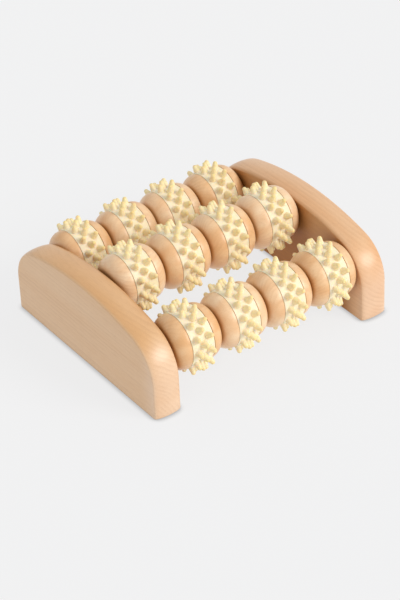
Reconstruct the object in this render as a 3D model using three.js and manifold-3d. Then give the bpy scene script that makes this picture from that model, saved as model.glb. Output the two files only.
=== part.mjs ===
// Foot massage roller: two arched wooden side panels hold three fixed axles, and four turned wooden
// beads turn freely on each axle. Every bead wears a rubber band with three rings of blunt pegs.
// Millimetres. +X runs along the axles, +Y from front to back, +Z up. The origin lies on the floor
// under the centre.

import * as THREE from 'three';
import { mergeVertices } from 'three/addons/utils/BufferGeometryUtils.js';
import Module from 'manifold-3d';

// Driving dimensions of the whole.
const OVERALL_WIDTH = 220;
const PANEL_THICKNESS = 23.25;
const PANEL_LENGTH = 189.5;
const PANEL_HEIGHT = 73;
const PANEL_HEIGHT_AT_ENDS = 55; // where the top arc would meet the end, before the end is rounded
const PANEL_END_RADIUS = 35.5;
const PANEL_CROWN = 2.75; // how much lower the board's edge lies at its faces than between them
const CROWN_STEPS = 5;

// Rollers: their axes lie along X.
const ROW_SPACING = 70.9;
const OUTER_AXIS_HEIGHT = 43.4;
const MIDDLE_AXIS_HEIGHT = 59;
const BEADS_PER_ROW = 4;
const BEAD_PITCH = 42.8;
const BEADS_SLID = 0.8; // how far to the right the beads lie within their end play

// Turned bead.
const BEAD_GAP = 0.5; // between the ends of neighbouring beads
const BEAD_RADIUS = 22.35;
const BEAD_END_RADIUS = 12; // of the flat end face
const BEAD_SIDES = 20;
const DOME_STEPS = 4;

// Rubber band, seated in the bead's groove.
const BAND_WIDTH = 19.6;
const BAND_THICKNESS = 3;
const BAND_SIDES = 26; // two flats to each peg of a ring
const SEAT_GAP = 0.3;
const GROOVE_RADIUS = BEAD_RADIUS - BAND_THICKNESS - SEAT_GAP;

// Pegs: a middle ring, and two side rings that lean outwards and sit half a step round from it.
const PEGS_PER_RING = 13;
const PEG_RING_SPACING = 5.2;
const PEG_LEAN = 8; // degrees
const PEG_HEIGHT = 6.5;
const PEG_BASE_RADIUS = 3.7; // to the corners of its square section
const PEG_TIP_RADIUS = 2.4;
const PEG_ROOT = 1; // how far a peg's foot is sunk into the band

// Axle rods and the blind holes that hold them.
const AXLE_RADIUS = 3;
const AXLE_CHAMFER = 0.5;
const AXLE_SIDES = 16;
const BORE_CLEARANCE = 0.4;
const HOLE_CLEARANCE = 0.3;
const HOLE_DEPTH = 15;
const HOLE_END_GAP = 0.5;

const FOOT_SPARE = 6; // how far the bare board reaches below the floor before its foot is cut

const FLATNESS = 0.001; // how far facets that count as one flat may stray from it

const INNER_WIDTH = OVERALL_WIDTH - 2 * PANEL_THICKNESS;
const AXLE_LENGTH = INNER_WIDTH + 2 * (HOLE_DEPTH - HOLE_END_GAP);
const BEAD_LENGTH = BEAD_PITCH - BEAD_GAP;

// How far each bead of a row, from left to right, happens to have rolled, in degrees.
const ROWS = [
  { name: 'front', y: -ROW_SPACING, z: OUTER_AXIS_HEIGHT, rolled: [13, 13, 15, 15] },
  { name: 'middle', y: 0, z: MIDDLE_AXIS_HEIGHT, rolled: [11, 2, 9, 11] },
  { name: 'back', y: ROW_SPACING, z: OUTER_AXIS_HEIGHT, rolled: [17, 11, 1, 1] },
];

const PANEL_WOOD = { color: 0xd9b285, roughness: 0.45, metalness: 0 };
const BEAD_WOOD = { color: 0xdcb08a, roughness: 0.4, metalness: 0 };
const RUBBER = { color: 0xeedfb2, roughness: 0.6, metalness: 0 };
const STEEL = { color: 0xb8babd, roughness: 0.35, metalness: 1 };

const wasm = await Module();
wasm.setup();

const object = new THREE.Group();

function addPart(name, geometry, look) {
  const mesh = new THREE.Mesh(geometry, new THREE.MeshStandardMaterial(look));
  mesh.name = name;
  object.add(mesh);
  return mesh;
}

// A closed geometry as a solid that can be cut and joined.
function toSolid(geometry) {
  const bare = geometry.clone();
  bare.deleteAttribute('normal');
  bare.deleteAttribute('uv');
  const merged = mergeVertices(bare, 1e-4);
  const vertProperties = new Float32Array(merged.attributes.position.array);
  const triVerts = new Uint32Array(merged.index.array);
  return new wasm.Manifold(new wasm.Mesh({ numProp: 3, vertProperties, triVerts }));
}

// A finished solid as a geometry, with the facets of each flat stretch merged.
function fromSolid(solid) {
  const mesh = solid.asOriginal().simplify(FLATNESS).getMesh();
  const geometry = new THREE.BufferGeometry();
  geometry.setAttribute('position', new THREE.BufferAttribute(mesh.vertProperties, mesh.numProp));
  geometry.setIndex(new THREE.BufferAttribute(mesh.triVerts, 1));
  geometry.computeVertexNormals();
  return geometry;
}

// A profile of [x, radius] points, from the high x end to the low one, turned about the X axis.
function turned(profile, sides) {
  const points = profile.map(([x, radius]) => new THREE.Vector2(radius, -x));
  return new THREE.LatheGeometry(points, sides).rotateZ(Math.PI / 2);
}

// Side panel's outline in the plane of its thickness: upright ends, rounded shoulders and one long arc
// over the top. It runs on below the floor, so that the foot can be cut flat after the edge is crowned.
function panelOutline() {
  const half = PANEL_LENGTH / 2;
  const rise = PANEL_HEIGHT - PANEL_HEIGHT_AT_ENDS;
  const arcRadius = (half * half + rise * rise) / (2 * rise);
  const arcCentre = PANEL_HEIGHT - arcRadius;
  const shoulderY = half - PANEL_END_RADIUS;
  const shoulderDrop = Math.sqrt((arcRadius - PANEL_END_RADIUS) ** 2 - shoulderY ** 2);
  const shoulderZ = arcCentre + shoulderDrop;
  const tangent = Math.atan2(shoulderDrop, shoulderY);
  const outline = new THREE.Shape();
  outline.moveTo(-half, -FOOT_SPARE);
  outline.lineTo(half, -FOOT_SPARE);
  outline.absarc(shoulderY, shoulderZ, PANEL_END_RADIUS, 0, tangent, false);
  outline.absarc(0, arcCentre, arcRadius, tangent, Math.PI - tangent, false);
  outline.absarc(-shoulderY, shoulderZ, PANEL_END_RADIUS, Math.PI - tangent, Math.PI, false);
  outline.closePath();
  return outline;
}

// The bare board, with its thickness along X and its middle at x = 0. Its whole edge is crowned.
function panelBoard() {
  const flat = 1;
  const board = new THREE.ExtrudeGeometry(panelOutline(), {
    depth: flat,
    curveSegments: 7,
    bevelThickness: (PANEL_THICKNESS - flat) / 2,
    bevelSize: PANEL_CROWN,
    bevelOffset: -PANEL_CROWN,
    bevelSegments: CROWN_STEPS,
  });
  board.translate(0, 0, -flat / 2);
  return board.rotateX(Math.PI / 2).rotateZ(Math.PI / 2);
}

// The right-hand panel. The left one is the same board turned half round.
function sidePanel() {
  const inner = INNER_WIDTH / 2;
  const radius = AXLE_RADIUS + HOLE_CLEARANCE;
  const bottom = inner + HOLE_DEPTH;
  const mouth = inner - 1;
  const hole = turned([[bottom, 0], [bottom, radius], [mouth, radius], [mouth, 0]], AXLE_SIDES);
  let panel = toSolid(panelBoard().translate(inner + PANEL_THICKNESS / 2, 0, 0));
  panel = panel.trimByPlane([0, 0, 1], 0);
  for (const row of ROWS) {
    panel = panel.subtract(toSolid(hole.clone().translate(0, row.y, row.z)));
  }
  return panel;
}

function axleRod() {
  const half = AXLE_LENGTH / 2;
  const end = AXLE_RADIUS - AXLE_CHAMFER;
  return turned([
    [half, 0],
    [half, end],
    [half - AXLE_CHAMFER, AXLE_RADIUS],
    [AXLE_CHAMFER - half, AXLE_RADIUS],
    [-half, end],
    [-half, 0],
  ], AXLE_SIDES);
}

// Half a bead's outline, from the bore at its end to the bottom of the groove.
function beadHalfProfile() {
  const end = BEAD_LENGTH / 2;
  const edge = BAND_WIDTH / 2 + SEAT_GAP;
  const points = [[end, AXLE_RADIUS + BORE_CLEARANCE]];
  for (let step = 0; step <= DOME_STEPS; step++) {
    const turn = (step / DOME_STEPS) * (Math.PI / 2);
    const x = edge + (end - edge) * Math.cos(turn);
    const radius = BEAD_END_RADIUS + (BEAD_RADIUS - BEAD_END_RADIUS) * Math.sin(turn);
    points.push([x, radius]);
  }
  points.push([edge, GROOVE_RADIUS]);
  return points;
}

function bead() {
  const half = beadHalfProfile();
  const otherHalf = half.map(([x, radius]) => [-x, radius]).reverse();
  return turned([...half, ...otherHalf, half[0]], BEAD_SIDES);
}

// One peg of a ring, standing on top of the band. The side rings, -1 and 1, lean outwards.
function peg(ring) {
  const height = PEG_HEIGHT + PEG_ROOT;
  const shape = new THREE.CylinderGeometry(PEG_TIP_RADIUS, PEG_BASE_RADIUS, height, 4);
  shape.rotateY(Math.PI / 4).rotateX(Math.PI / 2);
  shape.translate(0, 0, height / 2 - PEG_ROOT);
  shape.rotateY(ring * THREE.MathUtils.degToRad(PEG_LEAN));
  return shape.translate(ring * PEG_RING_SPACING, 0, BEAD_RADIUS);
}

// The plain band under the pegs: its flats, not its corners, lie at the stated radii.
function plainBand() {
  const half = BAND_WIDTH / 2;
  const cornerFactor = 1 / Math.cos(Math.PI / BAND_SIDES);
  const outside = BEAD_RADIUS * cornerFactor;
  const inside = (BEAD_RADIUS - BAND_THICKNESS) * cornerFactor;
  const section = [[half, inside], [half, outside], [-half, outside], [-half, inside], [half, inside]];
  return turned(section, BAND_SIDES).rotateX(Math.PI / BAND_SIDES);
}

function spikedBand() {
  const step = (2 * Math.PI) / PEGS_PER_RING;
  let band = toSolid(plainBand());
  for (const ring of [-1, 0, 1]) {
    const stagger = 0.5 * Math.abs(ring);
    for (let number = 0; number < PEGS_PER_RING; number++) {
      band = band.add(toSolid(peg(ring).rotateX(step * (number + stagger))));
    }
  }
  return band;
}

const beadGeometry = bead();
const bandGeometry = fromSolid(spikedBand());

const panelGeometry = fromSolid(sidePanel());
addPart('side_panel_right', panelGeometry, PANEL_WOOD);
addPart('side_panel_left', panelGeometry, PANEL_WOOD).rotation.z = Math.PI;

for (const row of ROWS) {
  const axle = addPart(`axle_${row.name}`, axleRod(), STEEL);
  axle.position.set(0, row.y, row.z);
  for (let number = 0; number < BEADS_PER_ROW; number++) {
    const x = (number - (BEADS_PER_ROW - 1) / 2) * BEAD_PITCH + BEADS_SLID;
    const turn = THREE.MathUtils.degToRad(90 - row.rolled[number]);
    const parts = [
      addPart(`bead_${row.name}_${number + 1}`, beadGeometry, BEAD_WOOD),
      addPart(`band_${row.name}_${number + 1}`, bandGeometry, RUBBER),
    ];
    for (const part of parts) {
      part.position.set(x, row.y, row.z);
      part.rotation.x = turn;
    }
  }
}

export default object;
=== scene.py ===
import math

import bmesh
import bpy
from mathutils import Matrix, Vector


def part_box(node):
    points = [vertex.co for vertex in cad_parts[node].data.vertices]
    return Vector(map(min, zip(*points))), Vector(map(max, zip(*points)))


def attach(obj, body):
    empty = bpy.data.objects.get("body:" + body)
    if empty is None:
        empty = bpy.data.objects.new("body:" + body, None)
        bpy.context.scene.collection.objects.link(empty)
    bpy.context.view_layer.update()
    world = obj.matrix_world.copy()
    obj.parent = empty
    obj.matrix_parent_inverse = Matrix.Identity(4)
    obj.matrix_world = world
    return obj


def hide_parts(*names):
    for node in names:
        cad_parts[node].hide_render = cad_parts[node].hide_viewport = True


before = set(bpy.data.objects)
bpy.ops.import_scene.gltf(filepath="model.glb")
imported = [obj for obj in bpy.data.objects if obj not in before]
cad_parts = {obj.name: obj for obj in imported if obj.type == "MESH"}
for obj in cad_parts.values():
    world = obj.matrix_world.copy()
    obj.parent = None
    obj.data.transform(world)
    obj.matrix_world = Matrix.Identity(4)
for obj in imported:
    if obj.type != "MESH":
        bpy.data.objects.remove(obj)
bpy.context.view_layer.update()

# Foot massage roller: two arched wooden side panels, three steel axles, and on each axle four turned
# wooden beads that wear spiked rubber bands. Shapes are worked out in millimetres about each piece's own
# middle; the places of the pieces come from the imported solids.

MM = 0.001

# Side panels, in the plane of the board.
PANEL_HEIGHT_AT_ENDS = 55
PANEL_SHOULDER = 35.5
PANEL_FOOT_CORNER = 1.5
PANEL_CROWN = 2.75  # how much lower the board's edge lies at its faces than in the middle of its thickness
PANEL_FOOT_EASE = 0.4
CROWN_STEPS = 12
FACE_MARGIN = 0.7  # width of the narrow strip that keeps the flat of a face flat next to its edge
HOLE_RADIUS = 3.3
HOLE_DEPTH = 15
HOLE_SIDES = 32
FOOT_STEPS = 26
END_STEPS = 4
CORNER_STEPS = 5
SHOULDER_STEPS = 18
TOP_STEPS = 40

# Beads.
BEAD_END = 21.15
BEAD_RADIUS = 22.35
BEAD_END_RADIUS = 12
BEAD_END_RING = 8  # a ring of vertices on the flat end face
BEAD_EDGE_EASE = 0.35  # rounding of the dome's edge at the groove
BORE_RADIUS = 3.4
BORE_CHAMFER = 0.6
GROOVE_HALF = 10.1
GROOVE_RADIUS = 19.05
GROOVE_STEP = 3  # rings of vertices that far from the middle of the groove and of the band's seat
SEAT_EASE = 0.3  # bevel in the corners of the groove and of the band
BEAD_SIDES = 96
DOME_STEPS = 14

# Axle rods.
AXLE_RADIUS = 3
AXLE_CHAMFER = 0.5
AXLE_SIDES = 48

# Rubber bands and their pegs.
BAND_HALF = 9.95
BAND_LIP = 0.4
BAND_SEAT_RADIUS = 19.35
BAND_EDGE_RADIUS = 22.3
BAND_CROWN = 0.3
PEGS_PER_RING = 13
PEG_RING_SPACING = 5.2
PEG_LEAN = math.radians(8)
PEG_HEIGHT = 6.5
PEG_TIP_HEIGHT = 1.6
PEG_TIP_RADIUS = 1.8
MIDDLE_FOOT_RADIUS = 3.4
SIDE_FOOT_RADIUS = 3.2
PEG_ROOT_FLAT = 2.5  # height over which a peg's sections turn from the band's surface to square to it
CELL_AROUND = 6  # mesh steps on the sides of the patch around each peg
CELL_ACROSS = 4
PEG_SIDES = 2 * (CELL_AROUND + CELL_ACROSS)
FIRST_SIDE = math.radians(-144)  # direction from a peg towards the low corner of its patch
ZIGZAG_MIDDLE = 2.7  # the line between the patches of the middle ring and of a side ring
ZIGZAG_SWING = 0.85
SIDES_ROUND_BAND = PEGS_PER_RING * CELL_AROUND

# How far each bead of a row, from left to right, has rolled: degrees from the front towards the top.
ROLLED = {
    "front": (13, 13, 15, 15),
    "middle": (11, 2, 9, 11),
    "back": (17, 11, 1, 1),
}

FLOOR_HALF = 6  # metres
FLOOR_GLOW = 0.775  # light that the floor gives off where nothing is near it

# Each board's wood, as board_wood takes it.
PANEL_WOODS = {
    "left": dict(
        pith=(-62, 0, -38),
        seed=1.3,
        pale=(224, 183, 140),
        warm=(216, 165, 112),
        front_sheen=(-74, -96),
        inner_side=1,
        outer_sheen_tint=(228, 196, 158),
    ),
    "right": dict(
        pith=(58, 0, 104),
        seed=4.1,
        pale=(228, 183, 140),
        warm=(219, 164, 114),
        front_sheen=(-84, -98),
        inner_side=-1,
    ),
}

# View: a long lens from the front left, above.
VIEW_AZIMUTH = math.radians(-34.46)
VIEW_ELEVATION = math.radians(35.68)
VIEW_ROLL = math.radians(-2.68)
VIEW_DISTANCE = 1.79097  # metres
VIEW_TARGET = Vector((-0.00299, -0.00242, 0.01084))
VIEW_LENS = 136.9

# Light: pale surroundings, and one broad soft key light from the right front, above.
SURROUNDINGS = (0.97, 0.985, 1.0, 1)
SURROUNDINGS_STRENGTH = 0.74
KEY_DIRECTION = (0.46, -0.72, 0.52)
KEY_STRENGTH = 1.85
KEY_SPREAD = 30  # degrees
KEY_COLOUR = (1.0, 0.985, 0.96)


# ---------------------------------------------------------------- shapes


def make_mesh(name, points, faces, sharp=math.radians(50)):
    """A closed, smooth-shaded mesh in metres from points in millimetres."""
    mesh = bpy.data.meshes.new(name)
    mesh.from_pydata([Vector(point) * MM for point in points], [], faces)
    bm = bmesh.new()
    bm.from_mesh(mesh)
    bmesh.ops.recalc_face_normals(bm, faces=bm.faces)
    bm.to_mesh(mesh)
    bm.free()
    mesh.shade_smooth()
    mesh.set_sharp_from_angle(angle=sharp)
    return mesh


def lathe(profile, sides, ring=True):
    """Points and faces of a profile of (x, radius) pairs turned about X: a closed ring section, or a bar
    whose two ends are capped."""
    count = len(profile)
    points = []
    for side in range(sides):
        angle = 2 * math.pi * side / sides
        for x, radius in profile:
            points.append((x, radius * math.cos(angle), radius * math.sin(angle)))
    faces = []
    for side in range(sides):
        here = side * count
        there = (side + 1) % sides * count
        for step in range(count if ring else count - 1):
            following = (step + 1) % count
            faces.append((here + step, here + following, there + following, there + step))
    if not ring:
        faces.append([side * count for side in range(sides)])
        faces.append([side * count + count - 1 for side in range(sides)])
    return points, faces


def arc(centre, radius, start, end, steps):
    """Points of an arc, with their outward directions."""
    found = []
    for step in range(steps + 1):
        angle = start + (end - start) * step / steps
        outward = (math.cos(angle), math.sin(angle))
        found.append((centre[0] + radius * outward[0], centre[1] + radius * outward[1], *outward))
    return found


def straight(start, end, outward, steps):
    """Points inside a straight stretch, its two ends left out, with their outward directions."""
    found = []
    for step in range(1, steps):
        part = step / steps
        y = start[0] + (end[0] - start[0]) * part
        z = start[1] + (end[1] - start[1]) * part
        found.append((y, z, *outward))
    return found


def panel_outline(half, height):
    """The board's outline, as (y, z, outward y, outward z): flat foot, upright ends, rounded shoulders
    and one long arc over the top."""
    rise = height - PANEL_HEIGHT_AT_ENDS
    big = (half * half + rise * rise) / (2 * rise)
    centre = height - big
    shoulder_y = half - PANEL_SHOULDER
    drop = math.sqrt((big - PANEL_SHOULDER) ** 2 - shoulder_y ** 2)
    shoulder_z = centre + drop
    tangent = math.atan2(drop, shoulder_y)
    corner = PANEL_FOOT_CORNER
    low = half - corner
    quarter = math.pi / 2
    return [
        *arc((-low, corner), corner, -2 * quarter, -quarter, CORNER_STEPS),
        *straight((-low, 0), (low, 0), (0, -1), FOOT_STEPS),
        *arc((low, corner), corner, -quarter, 0, CORNER_STEPS),
        *straight((half, corner), (half, shoulder_z), (1, 0), END_STEPS),
        *arc((shoulder_y, shoulder_z), PANEL_SHOULDER, 0, tangent, SHOULDER_STEPS),
        *arc((0, centre), big, tangent, math.pi - tangent, TOP_STEPS)[1:-1],
        *arc((-shoulder_y, shoulder_z), PANEL_SHOULDER, math.pi - tangent, 2 * quarter, SHOULDER_STEPS),
        *straight((-half, shoulder_z), (-half, corner), (-1, 0), END_STEPS),
    ]


def edge_profile(half_thickness):
    """The board's crowned edge from its inner face to its outer one, as (x, how far inside the outline)."""
    half = []
    for step in range(CROWN_STEPS):
        angle = math.pi / 2 * step / CROWN_STEPS
        half.append((half_thickness * math.cos(angle), PANEL_CROWN * (1 - math.sin(angle))))
    far_half = [(-x, inside) for x, inside in reversed(half)]
    margin = PANEL_CROWN + FACE_MARGIN
    return [(half_thickness, margin), *half, (0, 0), *far_half, (-half_thickness, margin)]


def inside_outline(place, inside, half_length):
    """A point of the outline moved inwards: the foot stays flat, only its rim is eased."""
    y, z, outward_y, outward_z = place
    if outward_z >= 0:
        return y - inside * outward_y, z - inside * outward_z
    margin = max(0, inside - PANEL_CROWN)
    rise = PANEL_FOOT_EASE * min(1, inside / PANEL_CROWN) ** 3 + margin
    return y * (1 - inside / half_length), z - rise * outward_z


def panel_mesh(name, inner_side, half_thickness, half_length, height, axes):
    """A side panel about the middle of its thickness, with blind axle holes in the face on inner_side."""
    outline = panel_outline(half_length, height)
    rows = edge_profile(half_thickness)
    bm = bmesh.new()
    loops = []
    for x, inside in rows:
        places = [inside_outline(place, inside, half_length) for place in outline]
        loops.append([bm.verts.new((inner_side * x, y, z)) for y, z in places])
    for low, high in zip(loops, loops[1:]):
        add_strip(bm, low, high)
    inner_edges = loop_edges(bm, loops[0])
    for y, z in axes:
        inner_edges += add_hole(bm, inner_side, half_thickness, y, z)
    bmesh.ops.triangle_fill(bm, use_beauty=True, use_dissolve=False, edges=inner_edges)
    bmesh.ops.triangle_fill(bm, use_beauty=True, use_dissolve=False, edges=loop_edges(bm, loops[-1]))
    bmesh.ops.recalc_face_normals(bm, faces=bm.faces)
    bmesh.ops.scale(bm, vec=(MM, MM, MM), verts=bm.verts)
    mesh = bpy.data.meshes.new(name)
    bm.to_mesh(mesh)
    bm.free()
    mesh.shade_smooth()
    mesh.set_sharp_from_angle(angle=math.radians(50))
    return mesh


def add_strip(bm, low, high):
    """Quads between two closed loops of vertices."""
    for index in range(len(low)):
        following = (index + 1) % len(low)
        bm.faces.new((low[index], low[following], high[following], high[index]))


def loop_edges(bm, loop):
    edges = []
    for index in range(len(loop)):
        pair = (loop[index], loop[(index + 1) % len(loop)])
        edges.append(bm.edges.get(pair) or bm.edges.new(pair))
    return edges


def add_hole(bm, inner_side, half_thickness, y, z):
    """A blind hole with its floor. Returns the edges of its mouth."""
    loops = []
    for depth in (0, HOLE_DEPTH):
        loop = []
        for side in range(HOLE_SIDES):
            angle = 2 * math.pi * side / HOLE_SIDES
            place = (
                inner_side * (half_thickness - depth),
                y + HOLE_RADIUS * math.cos(angle),
                z + HOLE_RADIUS * math.sin(angle),
            )
            loop.append(bm.verts.new(place))
        loops.append(loop)
    add_strip(bm, *loops)
    bm.faces.new(loops[1])
    return loop_edges(bm, loops[0])


def bead_half():
    """Half a bead's section, from the bore at its end to the bottom of the groove."""
    edge = GROOVE_HALF + BEAD_EDGE_EASE
    profile = [
        (BEAD_END - BORE_CHAMFER, BORE_RADIUS),
        (BEAD_END, BORE_RADIUS + BORE_CHAMFER),
        (BEAD_END, BEAD_END_RING),
    ]
    for step in range(DOME_STEPS + 1):
        turn = math.pi / 2 * step / DOME_STEPS
        x = edge + (BEAD_END - edge) * math.cos(turn)
        radius = BEAD_END_RADIUS + (BEAD_RADIUS - BEAD_END_RADIUS) * math.sin(turn)
        profile.append((x, radius))
    for degrees in (30, 60, 90):
        turn = math.radians(degrees)
        x = GROOVE_HALF + BEAD_EDGE_EASE * (1 - math.sin(turn))
        profile.append((x, BEAD_RADIUS - BEAD_EDGE_EASE * (1 - math.cos(turn))))
    return profile + groove_corner(GROOVE_HALF, GROOVE_RADIUS)


def groove_corner(half_width, radius):
    """The bevelled corner of the groove or of the band's seat, and a point further along its floor."""
    return [(half_width, radius + SEAT_EASE), (half_width - SEAT_EASE, radius), (GROOVE_STEP, radius)]


def bead_mesh():
    half = bead_half()
    other_half = [(-x, radius) for x, radius in reversed(half)]
    bore = [(x, BORE_RADIUS) for x in (-10, 0, 10)]
    return make_mesh("bead", *lathe([*half, *other_half, *bore], BEAD_SIDES))


def axle_mesh(half_length):
    end = half_length - AXLE_CHAMFER
    half = [(half_length, AXLE_RADIUS - AXLE_CHAMFER), (end, AXLE_RADIUS), (end / 2, AXLE_RADIUS)]
    other_half = [(-x, radius) for x, radius in reversed(half)]
    points, faces = lathe([*half, (0, AXLE_RADIUS), *other_half], AXLE_SIDES, ring=False)
    return make_mesh("axle", points, faces, sharp=math.radians(30))


def band_radius(x):
    """Radius of the band's plain surface, slightly crowned."""
    return BAND_EDGE_RADIUS + BAND_CROWN * (1 - (x / BAND_HALF) ** 2)


def on_band(angle, x, radius=None):
    radius = band_radius(x) if radius is None else radius
    return Vector((x, radius * math.sin(angle), radius * math.cos(angle)))


def zigzag(step):
    """Where the line between the middle ring's patches and a side ring's runs, at a mesh step round."""
    return ZIGZAG_MIDDLE + ZIGZAG_SWING * math.cos(2 * math.pi * step / CELL_AROUND)


def peg_profile(foot_radius):
    """A peg's outline as (height, radius): a filleted foot, a cone and a rounded tip."""
    shank = PEG_HEIGHT - PEG_TIP_HEIGHT
    shoulder = foot_radius - 0.3
    profile = [
        (0.0, foot_radius),
        (0.2, foot_radius - 0.28),
        (0.8, shoulder),
        (0.8 + (shank - 0.8) / 2, (shoulder + PEG_TIP_RADIUS) / 2),
        (shank, PEG_TIP_RADIUS),
    ]
    for degrees in (25, 48, 69):
        turn = math.radians(degrees)
        profile.append((shank + PEG_TIP_HEIGHT * math.sin(turn), PEG_TIP_RADIUS * math.cos(turn)))
    return profile


class BandBuilder:
    """One spiked band as one closed skin: a patch round each peg, then the lips, sides and seat."""

    def __init__(self):
        self.points = []
        self.faces = []
        self.shared = {}

    def add(self, point):
        self.points.append(point)
        return len(self.points) - 1

    def add_shared(self, step, x):
        """A point on the line between two patches, made once."""
        key = (step % SIDES_ROUND_BAND, round(x, 3))
        if key not in self.shared:
            self.shared[key] = self.add(on_band(2 * math.pi * step / SIDES_ROUND_BAND, x))
        return self.shared[key]

    def join(self, low, high):
        for index in range(len(low)):
            following = (index + 1) % len(low)
            self.faces.append((low[index], low[following], high[following], high[index]))

    def patch(self, middle_step, side):
        """The patch round the peg at a mesh step, of the middle ring (side 0) or a side ring (1 or -1)."""
        border = self.border_places(middle_step, side)
        outer = [self.add_shared(step, x) for step, x in border]
        foot_radius = SIDE_FOOT_RADIUS if side else MIDDLE_FOOT_RADIUS
        middle_angle = 2 * math.pi * middle_step / SIDES_ROUND_BAND
        half_way = []
        for number, (step, x) in enumerate(border):
            angle, foot_x = self.foot_place(number, middle_angle, side, foot_radius)
            border_angle = 2 * math.pi * step / SIDES_ROUND_BAND
            half_way.append(self.add(on_band((angle + border_angle) / 2, (foot_x + x) / 2)))
        self.join(outer, half_way)
        below = half_way
        for height, radius in peg_profile(foot_radius):
            loop = []
            for number in range(PEG_SIDES):
                loop.append(self.add(self.peg_point(number, middle_angle, side, height, radius)))
            self.join(below, loop)
            below = loop
        tip = self.add(self.peg_axis(middle_angle, side, PEG_HEIGHT))
        for number in range(len(below)):
            self.faces.append((below[number], below[(number + 1) % len(below)], tip))

    def border_places(self, middle_step, side):
        """(mesh step, x) round a patch's border, from its low corner on."""
        half = CELL_AROUND // 2
        first, last = middle_step - half, middle_step + half

        def low(step):
            return {0: -zigzag(step), 1: zigzag(step), -1: BAND_LIP - BAND_HALF}[side]

        def high(step):
            return {0: zigzag(step), 1: BAND_HALF - BAND_LIP, -1: -zigzag(step)}[side]

        def between(step, part):
            return low(step) + (high(step) - low(step)) * part / CELL_ACROSS

        return [
            *((step, low(step)) for step in range(first, last)),
            *((last, between(last, part)) for part in range(CELL_ACROSS)),
            *((step, high(step)) for step in range(last, first, -1)),
            *((first, between(first, part)) for part in range(CELL_ACROSS, 0, -1)),
        ]

    def foot_place(self, number, middle_angle, side, radius):
        """(angle, x) on the band of a point of a ring of that radius round a peg's foot."""
        turn = FIRST_SIDE + 2 * math.pi * number / PEG_SIDES
        angle = middle_angle + math.asin(radius * math.cos(turn) / BEAD_RADIUS)
        return angle, side * PEG_RING_SPACING + radius * math.sin(turn)

    def peg_axis(self, middle_angle, side, height):
        foot = on_band(middle_angle, side * PEG_RING_SPACING, BEAD_RADIUS)
        lean = side * PEG_LEAN
        radial = Vector((0, math.sin(middle_angle), math.cos(middle_angle)))
        return foot + (radial * math.cos(lean) + Vector((1, 0, 0)) * math.sin(lean)) * height

    def peg_point(self, number, middle_angle, side, height, radius):
        """A point of a peg's section: on the band's surface at the foot, square to the peg higher up."""
        turn = FIRST_SIDE + 2 * math.pi * number / PEG_SIDES
        lean = side * PEG_LEAN
        radial = Vector((0, math.sin(middle_angle), math.cos(middle_angle)))
        round_way = Vector((0, math.cos(middle_angle), -math.sin(middle_angle)))
        across = Vector((1, 0, 0)) * math.cos(lean) - radial * math.sin(lean)
        square = round_way * math.cos(turn) * radius + across * math.sin(turn) * radius
        square += self.peg_axis(middle_angle, side, height)
        along = radial * math.cos(lean) + Vector((1, 0, 0)) * math.sin(lean)
        flat = on_band(*self.foot_place(number, middle_angle, side, radius)) + along * height
        share = max(0, 1 - height / PEG_ROOT_FLAT) ** 2
        return square.lerp(flat, share)

    def lips_and_seat(self):
        """The rounded lips, the side walls and the seat, from one edge of the plain surface to the other."""
        edge = BAND_HALF - BAND_LIP
        top = band_radius(edge)
        half = []
        for degrees in (30, 60, 90):
            turn = math.radians(degrees)
            half.append((edge + BAND_LIP * math.sin(turn), top - BAND_LIP * (1 - math.cos(turn))))
        half += groove_corner(BAND_HALF, BAND_SEAT_RADIUS)
        section = [*half, *((-x, radius) for x, radius in reversed(half))]
        rows = [[self.add_shared(step, edge) for step in range(SIDES_ROUND_BAND)]]
        for x, radius in section:
            row = []
            for step in range(SIDES_ROUND_BAND):
                row.append(self.add(on_band(2 * math.pi * step / SIDES_ROUND_BAND, x, radius)))
            rows.append(row)
        rows.append([self.add_shared(step, -edge) for step in range(SIDES_ROUND_BAND)])
        for low, high in zip(rows, rows[1:]):
            self.join(low, high)


def band_mesh():
    builder = BandBuilder()
    for number in range(PEGS_PER_RING):
        step = number * CELL_AROUND
        builder.patch(step, 0)
        builder.patch(step + CELL_AROUND // 2, 1)
        builder.patch(step + CELL_AROUND // 2, -1)
    builder.lips_and_seat()
    return make_mesh("band", builder.points, builder.faces)


# ---------------------------------------------------------------- materials


def linear(red, green, blue):
    """A colour given as 0 to 255 on screen, as the shader wants it."""
    return (*((channel / 255) ** 2.2 for channel in (red, green, blue)), 1)


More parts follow.
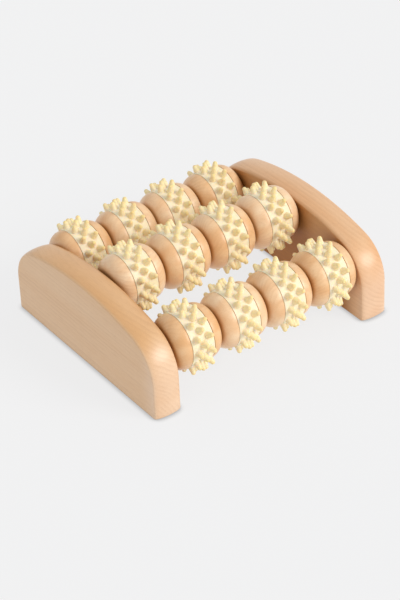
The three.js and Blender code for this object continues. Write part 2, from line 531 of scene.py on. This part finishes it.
class Look:
    """A material's nodes, built by short calls. Coordinates are millimetres in the piece's own frame."""

    def __init__(self, name):
        self.material = bpy.data.materials.new(name)
        self.material.use_nodes = True
        self.tree = self.material.node_tree
        self.shader = self.tree.nodes["Principled BSDF"]
        coordinates = self.node("TexCoord")
        self.place = self.vector("SCALE", coordinates.outputs["Object"], scale=1 / MM)

    def node(self, kind, **settings):
        made = self.tree.nodes.new("ShaderNode" + kind)
        for name, value in settings.items():
            setattr(made, name, value)
        return made

    def feed(self, socket, value):
        """Sets a socket to a constant, or links it to another node's output."""
        if isinstance(value, bpy.types.NodeSocket):
            self.tree.links.new(value, socket)
        else:
            socket.default_value = value

    def math(self, operation, *values):
        made = self.node("Math", operation=operation)
        for socket, value in zip(made.inputs, values):
            self.feed(socket, value)
        return made.outputs[0]

    def vector(self, operation, first, second=None, scale=None):
        made = self.node("VectorMath", operation=operation)
        self.feed(made.inputs[0], first)
        if second is not None:
            self.feed(made.inputs[1], second)
        if scale is not None:
            self.feed(made.inputs["Scale"], scale)
        return made.outputs["Value" if operation == "LENGTH" else "Vector"]

    def noise(self, place, stretch=(1, 1, 1), size=1.0, detail=3.0, roughness=0.5, colour=False):
        """Noise whose grains are size millimetres across, drawn out by stretch along each axis."""
        made = self.node("TexNoise")
        scale = tuple(1 / (size * way) for way in stretch)
        self.feed(made.inputs["Vector"], self.vector("MULTIPLY", place, scale))
        made.inputs["Scale"].default_value = 1
        made.inputs["Detail"].default_value = detail
        made.inputs["Roughness"].default_value = roughness
        return made.outputs["Color" if colour else "Fac"]

    def ramp(self, value, low, high, start=0.0, end=1.0):
        """Value brought smoothly from the range low..high to start..end."""
        made = self.node("MapRange", interpolation_type="SMOOTHSTEP")
        for name, given in (
            ("Value", value),
            ("From Min", low),
            ("From Max", high),
            ("To Min", start),
            ("To Max", end),
        ):
            self.feed(made.inputs[name], given)
        return made.outputs["Result"]

    def mix(self, share, first, second, blend="MIX"):
        made = self.node("Mix", data_type="RGBA", blend_type=blend)
        self.feed(made.inputs["Factor"], share)
        self.feed(made.inputs[6], first)
        self.feed(made.inputs[7], second)
        return made.outputs[2]

    def component(self, place, axis):
        made = self.node("SeparateXYZ")
        self.feed(made.inputs[0], place)
        return made.outputs[axis]

    def bump(self, height, strength, distance):
        made = self.node("Bump")
        made.inputs["Strength"].default_value = strength
        made.inputs["Distance"].default_value = distance * MM
        self.feed(made.inputs["Height"], height)
        return made.outputs["Normal"]

    def finish(self, **sockets):
        for name, value in sockets.items():
            self.feed(self.shader.inputs[name.replace("_", " ")], value)
        return self.material


def wood_figure(look, colour, dark, along, pith, seed, ring_width, figure):
    """Growth rings round the pith, fine fibres and pores, laid over a colour. along is the stretch of the
    grain on each axis. Returns the colour and the fibres."""
    place = seeded(look, seed)
    across = tuple(0.0 if stretch > 1 else 1.0 for stretch in along)
    from_pith = look.vector("SUBTRACT", look.vector("MULTIPLY", drifted(look, place, along), across), pith)
    ring = look.math("FRACT", look.math("DIVIDE", look.vector("LENGTH", from_pith), ring_width))
    late = look.math("MULTIPLY", look.ramp(ring, 0.2, 0.9), look.ramp(ring, 1.0, 0.9))
    fading = look.ramp(look.noise(place, along, size=11, detail=2), 0.35, 0.65, 0.2, 1.0)
    late = look.math("MULTIPLY", late, fading)
    fibre = look.noise(place, along, size=0.6, detail=3, roughness=0.6)
    short = [7.0 if stretch > 1 else 1.0 for stretch in along]
    pore = look.ramp(look.noise(place, short, size=0.4, detail=1), 0.66, 0.76)
    colour = look.mix(look.math("MULTIPLY", late, 0.2 * figure), colour, dark)
    colour = look.mix(look.math("MULTIPLY", look.ramp(fibre, 0.4, 0.75), 0.14), colour, dark)
    colour = look.mix(look.math("MULTIPLY", pore, 0.2), colour, dark)
    return colour, fibre


def seeded(look, seed):
    """Coordinates moved far off, so that no two pieces have the same noise."""
    return look.vector("ADD", look.place, (seed * 37.0, seed * 53.0, seed * 71.0))


def drifted(look, place, along):
    """The piece's own coordinates, bent a little by slow noise."""
    drift = look.noise(place, along, size=22, detail=2, colour=True)
    drift = look.vector("SCALE", look.vector("SUBTRACT", drift, (0.5, 0.5, 0.5)), scale=7.0)
    return look.vector("ADD", look.place, drift)


def openness(look, distance):
    """How open the surface is within a distance in millimetres: 1 on an open flat, less in a crease."""
    made = look.node("AmbientOcclusion")
    made.inputs["Distance"].default_value = distance * MM
    return made.outputs["AO"]


def lacquered(look, colour, fibre, crease, roughness):
    """Finishes a wood under a thin satin lacquer; painted shade darkens its creases warmly."""
    shaded = look.mix(1.0, colour, (0.5, 0.3, 0.04, 1), blend="MULTIPLY")
    return look.finish(
        Base_Color=look.mix(crease, colour, shaded),
        Roughness=roughness,
        Specular_IOR_Level=0.35,
        Coat_Weight=0.42,
        Coat_Roughness=0.3,
        Normal=look.bump(fibre, 0.15, 0.05),
    )


def turned_wood(name, pith, seed, pale, warm):
    """Turned wood with its grain along X."""
    look = Look(name)
    along = (16.0, 1.0, 1.0)
    cloud = look.noise(seeded(look, seed), along, size=13, detail=2)
    colour = look.mix(look.ramp(cloud, 0.3, 0.7), linear(*pale), linear(*warm))
    dark = linear(178, 122, 80)
    colour, fibre = wood_figure(look, colour, dark, along, pith, seed, ring_width=2.2, figure=0.6)
    # Painted shade: the bead darkens warmly in its creases, where neighbours are near.
    crease = look.ramp(openness(look, 16), 0.75, 0.15, 0.0, 0.8)
    return lacquered(look, colour, fibre, crease, look.ramp(fibre, 0.3, 0.7, 0.36, 0.44))


def board_wood(name, pith, seed, pale, warm, front_sheen, inner_side, outer_sheen_tint=None):
    """A board with its grain along Y. front_sheen is the stretch of y over which a painted sheen, standing
    for the lacquer's reflection of the light in front, turns it paler towards its front end, and
    outer_sheen_tint a paler, greyer colour that its outer face leans to, a painted sheen for the lacquer's
    reflection of the pale surroundings. Painted shade darkens the inner face."""
    look = Look(name)
    along = (1.0, 16.0, 1.0)
    place = seeded(look, seed)
    cloud = look.noise(place, along, size=30, detail=2)
    colour = look.mix(look.ramp(cloud, 0.3, 0.7), linear(*pale), linear(*warm))
    inwards = look.math("MULTIPLY", look.component(look.place, "X"), inner_side)
    # Painted sheen: the outer face leans to a paler, greyer tint, standing for the lacquer's reflection of
    # the pale surroundings.
    if outer_sheen_tint:
        colour = look.mix(look.ramp(inwards, -9.5, -11.4, 0.0, 0.38), colour, linear(*outer_sheen_tint))
    # Painted sheen: paler towards the front end, standing for the lacquer's reflection of the light in
    # front.
    towards_front = look.component(drifted(look, place, along), "Y")
    colour = look.mix(look.ramp(towards_front, *front_sheen, 0.0, 0.4), colour, linear(240, 212, 188))
    dark = linear(168, 116, 77)
    colour, fibre = wood_figure(look, colour, dark, along, pith, seed, ring_width=3.2, figure=0.75)
    inner = look.ramp(inwards, 8, 11.5)
    # Painted shade on the inner face: deepest low down between the rows.
    crease = look.math("MULTIPLY", inner_shade(look), inner)
    roughness = look.math("ADD", look.ramp(fibre, 0.3, 0.7, 0.36, 0.44), look.math("MULTIPLY", inner, 0.4))
    return lacquered(look, colour, fibre, crease, roughness)


def inner_shade(look):
    """Shade of a board's inner face: deepest low down between the rows, and nearly none at the ends."""
    covered = look.ramp(openness(look, 45), 0.8, 0.2, 0.0, 0.5)
    low = look.ramp(look.component(look.place, "Z"), 60, 22, 0.4, 0.9)
    from_middle = look.math("ABSOLUTE", look.component(look.place, "Y"))
    between_rows = look.ramp(from_middle, 88, 62, 0.1, 1.0)
    return look.math("MULTIPLY", look.math("ADD", covered, low), between_rows)


def rubber(name, seed):
    """Ivory rubber: pale between the pegs, yellower up their shanks and golden at their tips."""
    look = Look(name)
    place = look.vector("ADD", look.place, (seed * 31.0, seed * 17.0, seed * 43.0))
    radius = look.vector("LENGTH", look.vector("MULTIPLY", look.place, (0, 1, 1)))
    cloud = look.noise(place, size=7, detail=2)
    mottle = look.noise(place, size=0.8, detail=3)
    base = look.mix(cloud, linear(243, 229, 198), linear(241, 224, 189))
    shank = look.mix(look.ramp(radius, 22.7, 25.5), base, linear(240, 223, 178))
    colour = look.mix(look.ramp(radius, 26.8, 28.7), shank, linear(233, 208, 149))
    # Painted shade: a dark line along the band's edges, where it meets the groove.
    from_middle = look.math("ABSOLUTE", look.component(look.place, "X"))
    colour = look.mix(look.ramp(from_middle, 9.45, 9.9, 0.0, 0.6), colour, linear(190, 148, 92))
    # Painted shade: warm and deeper between the pegs and in the band's corners.
    crease = look.ramp(openness(look, 5), 0.7, 0.1, 0.0, 0.7)
    colour = look.mix(crease, colour, look.mix(1.0, colour, (0.86, 0.68, 0.36, 1), blend="MULTIPLY"))
    speck = look.math("MULTIPLY", look.ramp(mottle, 0.45, 0.8), 0.15)
    return look.finish(
        Base_Color=look.mix(speck, colour, linear(234, 208, 150)),
        Roughness=look.ramp(mottle, 0.3, 0.7, 0.42, 0.54),
        Specular_IOR_Level=0.4,
        Subsurface_Weight=0.5,
        Subsurface_Radius=(1.0, 0.8, 0.45),
        Subsurface_Scale=2.5 * MM,
        Normal=look.bump(mottle, 0.2, 0.08),
    )


def steel(name):
    """Drawn rod: fine lengthwise lines."""
    look = Look(name)
    lines = look.noise(look.place, (40, 1, 1), size=0.12, detail=3)
    wear = look.noise(look.place, (3, 1, 1), size=5, detail=3)
    colour = look.mix(look.ramp(wear, 0.35, 0.75), linear(206, 208, 211), linear(176, 179, 184))
    return look.finish(
        Base_Color=colour,
        Metallic=1.0,
        Roughness=look.ramp(lines, 0.3, 0.7, 0.24, 0.4),
        Normal=look.bump(lines, 0.25, 0.03),
    )


def floor_paper():
    """White paper that glows evenly, so that shadows on it all but vanish; near anything that touches it
    the glow dims, a painted contact shadow.
    """
    look = Look("floor_paper")
    tooth = look.noise(look.place, size=0.9, detail=2)
    return look.finish(
        Base_Color=look.mix(tooth, (0.1, 0.1, 0.1, 1), (0.11, 0.11, 0.11, 1)),
        Roughness=1.0,
        Specular_IOR_Level=0.0,
        Emission_Color=(1.0, 1.0, 1.005, 1),
        # Painted contact shadow: the glow dims where something is near.
        Emission_Strength=look.ramp(openness(look, 6), 0.4, 0.95, 0.45, FLOOR_GLOW),
    )


# ---------------------------------------------------------------- pieces


def place_piece(name, mesh, material, middle, turn=0.0):
    """An object at the middle of its CAD node, its mesh turned about X."""
    mesh.transform(Matrix.Rotation(turn, 4, "X"))
    piece = bpy.data.objects.new(name, mesh)
    piece.location = middle
    bpy.context.scene.collection.objects.link(piece)
    piece.data.materials.clear()
    piece.data.materials.append(material)
    return piece


def stand_for(piece, body, node):
    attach(piece, body)
    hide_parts(node)


def middle_of(node):
    low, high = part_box(node)
    return (low + high) / 2


def add_panels(row_places):
    for side, wood in PANEL_WOODS.items():
        node = f"side_panel_{side}"
        low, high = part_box(node)
        size = (high - low) / MM
        centre = Vector(((low.x + high.x) / 2, (low.y + high.y) / 2, low.z))
        axes = [((place.y - centre.y) / MM, (place.z - centre.z) / MM) for place in row_places]
        mesh = panel_mesh(node, wood["inner_side"], size.x / 2, size.y / 2, size.z, axes)
        board = place_piece(f"board_{side}", mesh, board_wood(f"panel_wood_{side}", **wood), centre)
        stand_for(board, "frame", node)


def add_axle(row):
    node = f"axle_{row}"
    low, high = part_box(node)
    mesh = axle_mesh((high.x - low.x) / 2 / MM)
    rod = place_piece(f"rod_{row}", mesh, steel(f"rod_steel_{row}"), middle_of(node))
    stand_for(rod, "frame", node)


def add_roller(row, number, bare_bead, bare_band, seed):
    turn = math.radians(90 - ROLLED[row][number - 1])
    body = f"roller_{row}_{number}"
    middle = middle_of(f"bead_{row}_{number}")
    shade = math.sin(seed * 2.3)
    timber = turned_wood(
        f"bead_wood_{row}_{number}",
        pith=(0, 16 * math.cos(seed * 1.7), 16 * math.sin(seed * 1.7)),
        seed=seed,
        pale=(239 + 4 * shade, 203 + 9 * shade, 161 + 13 * shade),
        warm=(228 + 5 * shade, 180 + 9 * shade, 131 + 13 * shade),
    )
    turned = place_piece(f"turned_bead_{row}_{number}", bare_bead.copy(), timber, middle, turn)
    stand_for(turned, body, f"bead_{row}_{number}")
    skin = rubber(f"rubber_{row}_{number}", seed)
    spiked = place_piece(f"spiked_band_{row}_{number}", bare_band.copy(), skin, middle, turn)
    stand_for(spiked, body, f"band_{row}_{number}")


def add_floor():
    mesh = bpy.data.meshes.new("floor")
    bm = bmesh.new()
    bmesh.ops.create_grid(bm, x_segments=8, y_segments=8, size=FLOOR_HALF)
    bm.to_mesh(mesh)
    bm.free()
    floor = place_piece("floor", mesh, floor_paper(), Vector((0, 0, 0)))


# ---------------------------------------------------------------- light and camera


def add_world():
    world = bpy.data.worlds.new("studio")
    world.use_nodes = True
    background = world.node_tree.nodes["Background"]
    background.inputs["Color"].default_value = SURROUNDINGS
    background.inputs["Strength"].default_value = SURROUNDINGS_STRENGTH
    bpy.context.scene.world = world


def add_sun(name, towards, strength, spread, colour):
    """Light from a disc in the direction towards, spread degrees across."""
    data = bpy.data.lights.new(name, "SUN")
    data.energy = strength
    data.angle = math.radians(spread)
    data.color = colour
    lamp = bpy.data.objects.new(name, data)
    lamp.rotation_mode = "QUATERNION"
    lamp.rotation_quaternion = Vector(towards).to_track_quat("Z", "Y")
    bpy.context.scene.collection.objects.link(lamp)


def add_camera():
    back = Vector((
        math.sin(VIEW_AZIMUTH) * math.cos(VIEW_ELEVATION),
        -math.cos(VIEW_AZIMUTH) * math.cos(VIEW_ELEVATION),
        math.sin(VIEW_ELEVATION),
    ))
    level = Vector((0, 0, 1)).cross(back).normalized()
    upright = back.cross(level)
    right = level * math.cos(VIEW_ROLL) + upright * math.sin(VIEW_ROLL)
    up = upright * math.cos(VIEW_ROLL) - level * math.sin(VIEW_ROLL)
    data = bpy.data.cameras.new("view")
    data.lens = VIEW_LENS
    data.sensor_width = 36
    data.sensor_fit = "AUTO"
    camera = bpy.data.objects.new("view", data)
    turned = Matrix((right, up, back)).transposed().to_4x4()
    camera.matrix_world = Matrix.Translation(VIEW_TARGET + back * VIEW_DISTANCE) @ turned
    bpy.context.scene.collection.objects.link(camera)
    bpy.context.scene.camera = camera


bead = bead_mesh()
band = band_mesh()
rows = list(ROLLED)
add_panels([middle_of(f"axle_{row}") for row in rows])
for row_index, row in enumerate(rows):
    add_axle(row)
    for number in range(1, len(ROLLED[row]) + 1):
        add_roller(row, number, bead, band, seed=1.0 + 4 * row_index + number)
add_floor()
add_world()
add_sun("key", KEY_DIRECTION, KEY_STRENGTH, KEY_SPREAD, KEY_COLOUR)
add_camera()
bpy.context.scene.view_settings.view_transform = "Standard"
